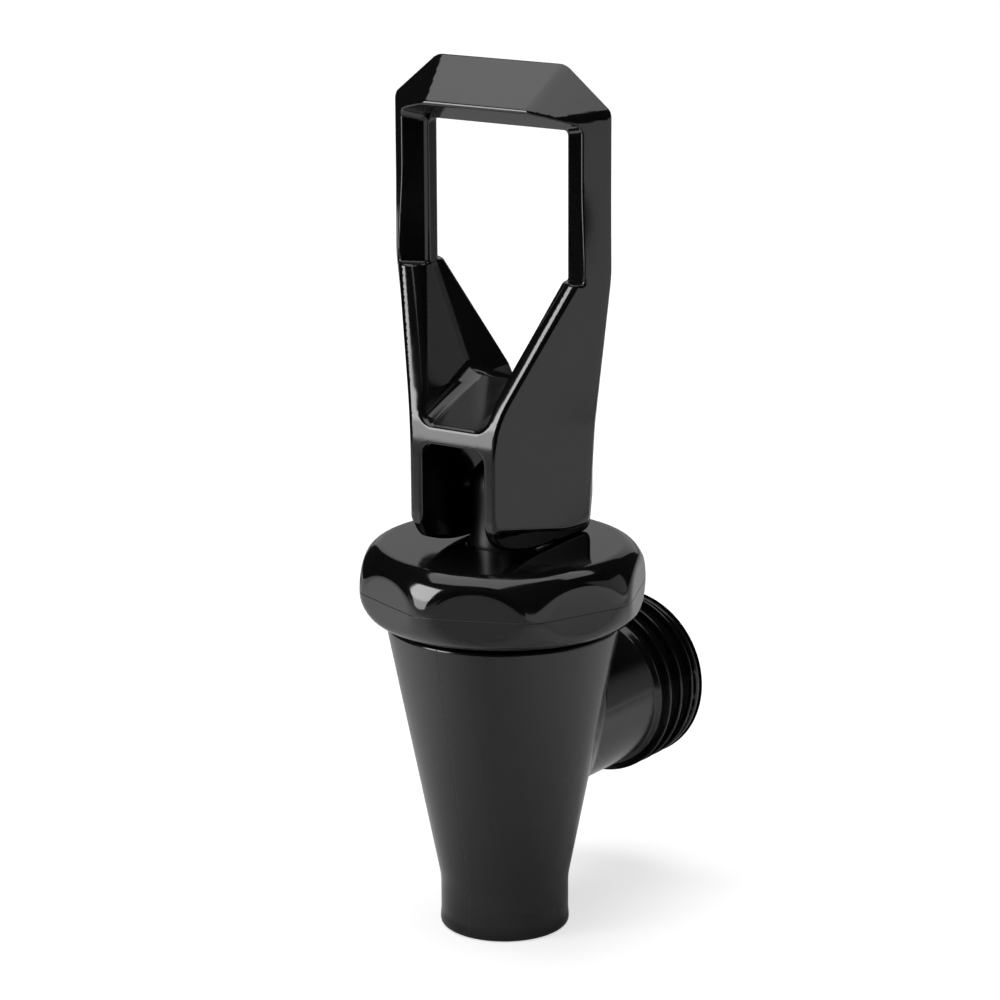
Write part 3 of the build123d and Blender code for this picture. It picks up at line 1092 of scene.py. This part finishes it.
@dataclass
class ClosingSpring:
    """Compression spring between the stem's collar and the bonnet."""

    foot_z: float = 40.55
    top_z: float = 56.2
    anchor_z: float = 56.75
    radius: float = 6.3
    wire_radius: float = 0.55
    turns: float = 5.5
    travel: float = 3.14

    @property
    def keep(self) -> float:
        """Share of its length that is left when the stem is lifted."""
        return 1 - self.travel / (self.anchor_z - self.foot_z + self.wire_radius)

    def helix(self) -> Helix:
        """Helix of the wire."""
        height = self.top_z - self.foot_z
        width = 2 * self.wire_radius
        return Helix("closing_spring", Section.WIRE, self.radius, self.turns, height, width)


@dataclass
class Panel:
    """Flat studio card that only reflections see, bright or black, with soft edges if wanted."""

    name: str
    centre: Triple
    towards: Triple
    width: float
    height: float
    radiance: float
    soft: float = 0.0

    def build(self) -> None:
        """Make the card, hidden from all but glossy rays."""
        mesh = flat_mesh(self.name, self.width, self.height)
        aim = Vector(self.towards) - Vector(self.centre)
        turn = aim.to_track_quat("Z", "Y").to_matrix()
        mesh.transform(Matrix.Translation(self.centre) @ turn.to_4x4())
        mesh.materials.append(self.material(turn))
        card = linked(self.name, mesh)
        card.visible_camera = False
        card.visible_diffuse = False
        card.visible_shadow = False
        card.visible_transmission = False

    def material(self, turn: Matrix) -> Material:
        """Glow that fades out towards the card's edges.

        Args:
            turn: Rotation of the card.

        Returns:
            The card's material.
        """
        material, graph, where = new_material(self.name)
        colour = (self.radiance, self.radiance, self.radiance, 1.0)
        surface = graph.node("ShaderNodeEmission", {"Color": colour, "Strength": 1.0})["Emission"]
        if self.soft:
            out_x = self.share(graph, where, turn.col[0], self.width / 2)
            out_y = self.share(graph, where, turn.col[1], self.height / 2)
            full = 1.0 - self.soft
            kept = (1.0 - out_x.between(full, 1.0)) * (1.0 - out_y.between(full, 1.0))
            clear = graph.node("ShaderNodeBsdfTransparent")["BSDF"]
            surface = graph.node("ShaderNodeMixShader", {0: kept, 1: clear, 2: surface})["Shader"]
        graph.node("ShaderNodeOutputMaterial", {"Surface": surface})
        return material

    def share(self, graph: NodeGraph, where: Wire, axis: Vector, half: float) -> Wire:
        """How far out a point lies along one of the card's axes: 0 in the middle and 1 at the edge."""
        shifted = graph.vector("SUBTRACT", {0: where, 1: self.centre})["Vector"]
        along = graph.vector("DOT_PRODUCT", {0: shifted, 1: tuple(axis)})["Value"]
        return along.size() / half


@dataclass
class Studio:
    """Camera, floor, lamps and cards."""

    azimuth: float = 34.0
    elevation: float = 14.819
    roll: float = -0.275
    lens: float = 126.17
    sensor: float = 36.0
    distance: float = 0.5290
    origin_pixel: tuple[float, float] = (504.886, 919.005)
    frame_pixels: float = 1000.0
    floor_size: float = 12.0
    floor_colour: float = 0.80
    floor_glow: float = 0.94
    floor_roughness: float = 0.9
    # Painted shade on the floor: its glow is cut to this share near the tap and rises to full over this
    # reach.
    painted_shade_reach: tuple[float, float] = (0.05, 0.6)
    painted_shade_glow: float = 0.74
    glossy_share: float = 0.1
    sky: float = 0.02

    def build(self) -> None:
        """Set up everything that isn't part of the tap."""
        bpy.context.scene.view_settings.view_transform = "Standard"
        self.camera()
        self.floor()
        self.world()
        self.lamps()

    def camera(self) -> None:
        """Place the camera so that the origin falls on its pixel."""
        az = math.radians(self.azimuth)
        el = math.radians(self.elevation)
        back = Vector((math.sin(az) * math.cos(el), -math.cos(az) * math.cos(el), math.sin(el)))
        level = Vector((math.cos(az), math.sin(az), 0))
        upright = back.cross(level)
        turn = math.radians(self.roll)
        right = math.cos(turn) * level + math.sin(turn) * upright
        up = math.cos(turn) * upright - math.sin(turn) * level
        spread = self.sensor / self.lens / self.frame_pixels
        middle = self.frame_pixels / 2
        aside = (self.origin_pixel[0] - middle) * spread * self.distance
        above = (middle - self.origin_pixel[1]) * spread * self.distance
        eye = back * self.distance - right * aside - up * above
        data = bpy.data.cameras.new("camera")
        data.lens = self.lens
        data.sensor_width = self.sensor
        data.sensor_fit = "HORIZONTAL"
        data.clip_start = 0.01
        camera = linked("camera", data)
        camera.matrix_world = Matrix((right, up, back)).transposed().to_4x4()
        camera.location = eye
        bpy.context.scene.camera = camera

    def floor(self) -> None:
        """Make a pale floor that keeps the tap's shadow, with painted shade: its glow is dimmer near the
        tap, which deepens the shadow there.
        """
        mesh = flat_mesh("floor", self.floor_size, self.floor_size)
        material, graph, where = new_material("floor")
        rays = graph.node("ShaderNodeLightPath")
        seen = rays["Is Camera Ray"] + rays["Is Transmission Ray"]
        seen = seen + rays["Is Glossy Ray"] * self.glossy_share
        # Painted shade: the floor's glow is dimmed near the tap and fades up to full glow farther out.
        far = graph.vector("LENGTH", {0: where})["Value"].between(*self.painted_shade_reach)
        graph.principled(
            {
                "Base Color": (self.floor_colour, self.floor_colour, self.floor_colour, 1.0),
                "Roughness": self.floor_roughness,
                "Specular IOR Level": 0.0,
                "Emission Color": graph.mix(far, (self.painted_shade_glow,) * 3, (1.0, 1.0, 1.0)),
                "Emission Strength": seen.math("MINIMUM", 1.0) * self.floor_glow,
            }
        )
        mesh.materials.append(material)
        linked("floor", mesh)

    def world(self) -> None:
        """Dim even room light."""
        world = bpy.data.worlds.new("room")
        world.use_nodes = True
        graph = NodeGraph(world.node_tree)
        room = graph.node("ShaderNodeBackground", {"Color": (1.0, 1.0, 1.0, 1.0), "Strength": self.sky})
        graph.node("ShaderNodeOutputWorld", {"Surface": room["Background"]})
        bpy.context.scene.world = world

    def lamps(self) -> None:
        """Hang the soft lamps and set up the cards."""
        # A lamp has a place, a point that it faces, a side and a power; a card has a centre, a point
        # that it faces, a width, a height, a radiance and the share of its half that fades out.
        self.lamp("overhead", (-0.05, -0.05, 0.75), (0.0, 0.0, 0.06), 0.55, 3.4)
        self.lamp("left_fill", (-0.55, -0.75, 0.35), (0.0, 0.0, 0.07), 0.35, 2.0)
        cards = (
            Panel("front_left_card", (-0.33, -0.49, 0.20), (0.0, 0.0, 0.20), 0.26, 0.52, 6.0, 0.1),
            Panel("upper_left_card", (-0.324, -0.481, 0.285), (0.0, 0.0, 0.285), 0.32, 0.36, 10.5, 0.25),
            Panel("roof_card", (-0.08, -0.12, 0.60), (-0.08, -0.12, 0.08), 0.56, 0.55, 2.25),
            Panel("roof_back_card", (-0.02, 0.295, 0.60), (-0.02, 0.295, 0.08), 0.68, 0.28, 1.8),
            Panel("right_card", (0.655, 0.47, 0.16), (0.0, 0.0, 0.10), 0.62, 0.40, 0.42),
            Panel("right_floor_card", (0.73, -0.15, 0.002), (0.73, -0.15, 0.5), 1.16, 1.00, 1.05, 0.1),
            Panel("near_right_card", (0.10, 0.02, 0.003), (0.10, 0.02, 0.5), 0.18, 0.34, 0.9, 0.8),
            Panel("near_left_card", (-0.12, -0.11, 0.002), (-0.12, -0.11, 0.5), 0.32, 0.30, 1.15, 0.7),
            Panel("back_card", (-0.55, 0.82, 0.34), (0.0, 0.0, 0.08), 1.00, 0.60, 0.43),
            Panel("back_floor_card", (-0.16, 0.19, 0.002), (-0.16, 0.19, 0.5), 0.20, 0.20, 0.26),
            Panel("left_flag", (-0.30, 0.02, 0.16), (0.0, 0.02, 0.10), 0.45, 0.34, 0.01),
            Panel("front_flag", (0.12, -0.32, 0.07), (0.0, 0.0, 0.08), 0.26, 0.16, 0.0),
        )
        for card in cards:
            card.build()

    def lamp(self, name: str, place: Triple, aim: Triple, size: float, power: float) -> None:
        """Hang one square soft lamp.

        Args:
            name: Name of the lamp.
            place: Where it hangs, in metres.
            aim: Point that it faces.
            size: Side of its square, in metres.
            power: Power in watts.
        """
        data = bpy.data.lights.new(name, "AREA")
        data.shape = "SQUARE"
        data.size = size
        data.energy = power
        lamp = linked(name, data)
        lamp.location = place
        lamp.rotation_euler = (Vector(aim) - Vector(place)).to_track_quat("-Z", "Y").to_euler()
        lamp.visible_camera = False
        lamp.visible_glossy = False


@dataclass
class SeatCup:
    """Soft cup from the bonnet to the outlet seat: the CAD cup, merged and shaded smooth."""

    anchor_z: float = 55.0
    length: float = 39.35
    travel: float = 3.14
    merge_distance: float = 1e-7
    crease_angle: float = 35.0

    @property
    def keep(self) -> float:
        """Share of its length that is left when the stem is lifted."""
        return 1 - self.travel / self.length

    def build(self) -> Object:
        """Make the cup's mesh from that of its CAD node."""
        shape = bmesh.new()
        shape.from_mesh(bpy.data.objects["seat_cup"].data)
        bmesh.ops.remove_doubles(shape, verts=shape.verts, dist=self.merge_distance)
        mesh = bpy.data.meshes.new("seat_cup_soft")
        shape.to_mesh(mesh)
        shape.free()
        mesh.shade_smooth()
        mesh.set_sharp_from_angle(angle=math.radians(self.crease_angle))
        return linked("seat_cup_soft", mesh)


def main() -> None:
    """Build the tap's pieces and the studio."""
    logging.basicConfig(level=logging.INFO, format="%(name)s %(message)s")
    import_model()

    bonnet = ScrewBonnet()
    body = TapBody()
    ridge = ShankThread(body)
    coil = ClosingSpring()
    cup = SeatCup()

    handle_gloss = MouldedGloss("handle_gloss")
    belt = {"parting": Parting.BELT, "parting_level": bonnet.belly_z}
    bonnet_gloss = MouldedGloss("bonnet_gloss", roughness=0.06, **belt)
    body_gloss = MouldedGloss("body_gloss", roughness=0.14, parting=Parting.MIDDLE).material()
    stem_satin = MouldedGloss("stem_satin", roughness=0.3)
    wire_steel = DrawnSteel("wire_steel", grain=(900.0, 900.0, 900.0))

    settle(dress(LoopHandle().build(), handle_gloss.material()), "handle", "handle", "handle")
    settle(dress(bonnet.build(), bonnet_gloss.material()), "tap_body", "bonnet", "bonnet")
    settle(dress(body.build(), body_gloss), "tap_body", "body", "body")
    settle(ridge.helix().build(body_gloss, ridge.place()), "tap_body", "body")

    foot = Matrix.Translation((0.0, 0.0, coil.foot_z * MM))
    spring = coil.helix().build(wire_steel.material(), foot)
    settle(spring, "tap_body", "spring", "spring")
    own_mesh(spring)

    dress(bpy.data.objects["stem"], stem_satin.material())
    dress(bpy.data.objects["handle_pin"], DrawnSteel("pin_steel").material())

    soft = dress(cup.build(), SoftSilicone("seat_silicone").material())
    settle(soft, "tap_body", "seat_cup", "seat_cup")
    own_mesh(soft)

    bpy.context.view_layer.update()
    Studio().build()


if __name__ == "__main__":
    main()
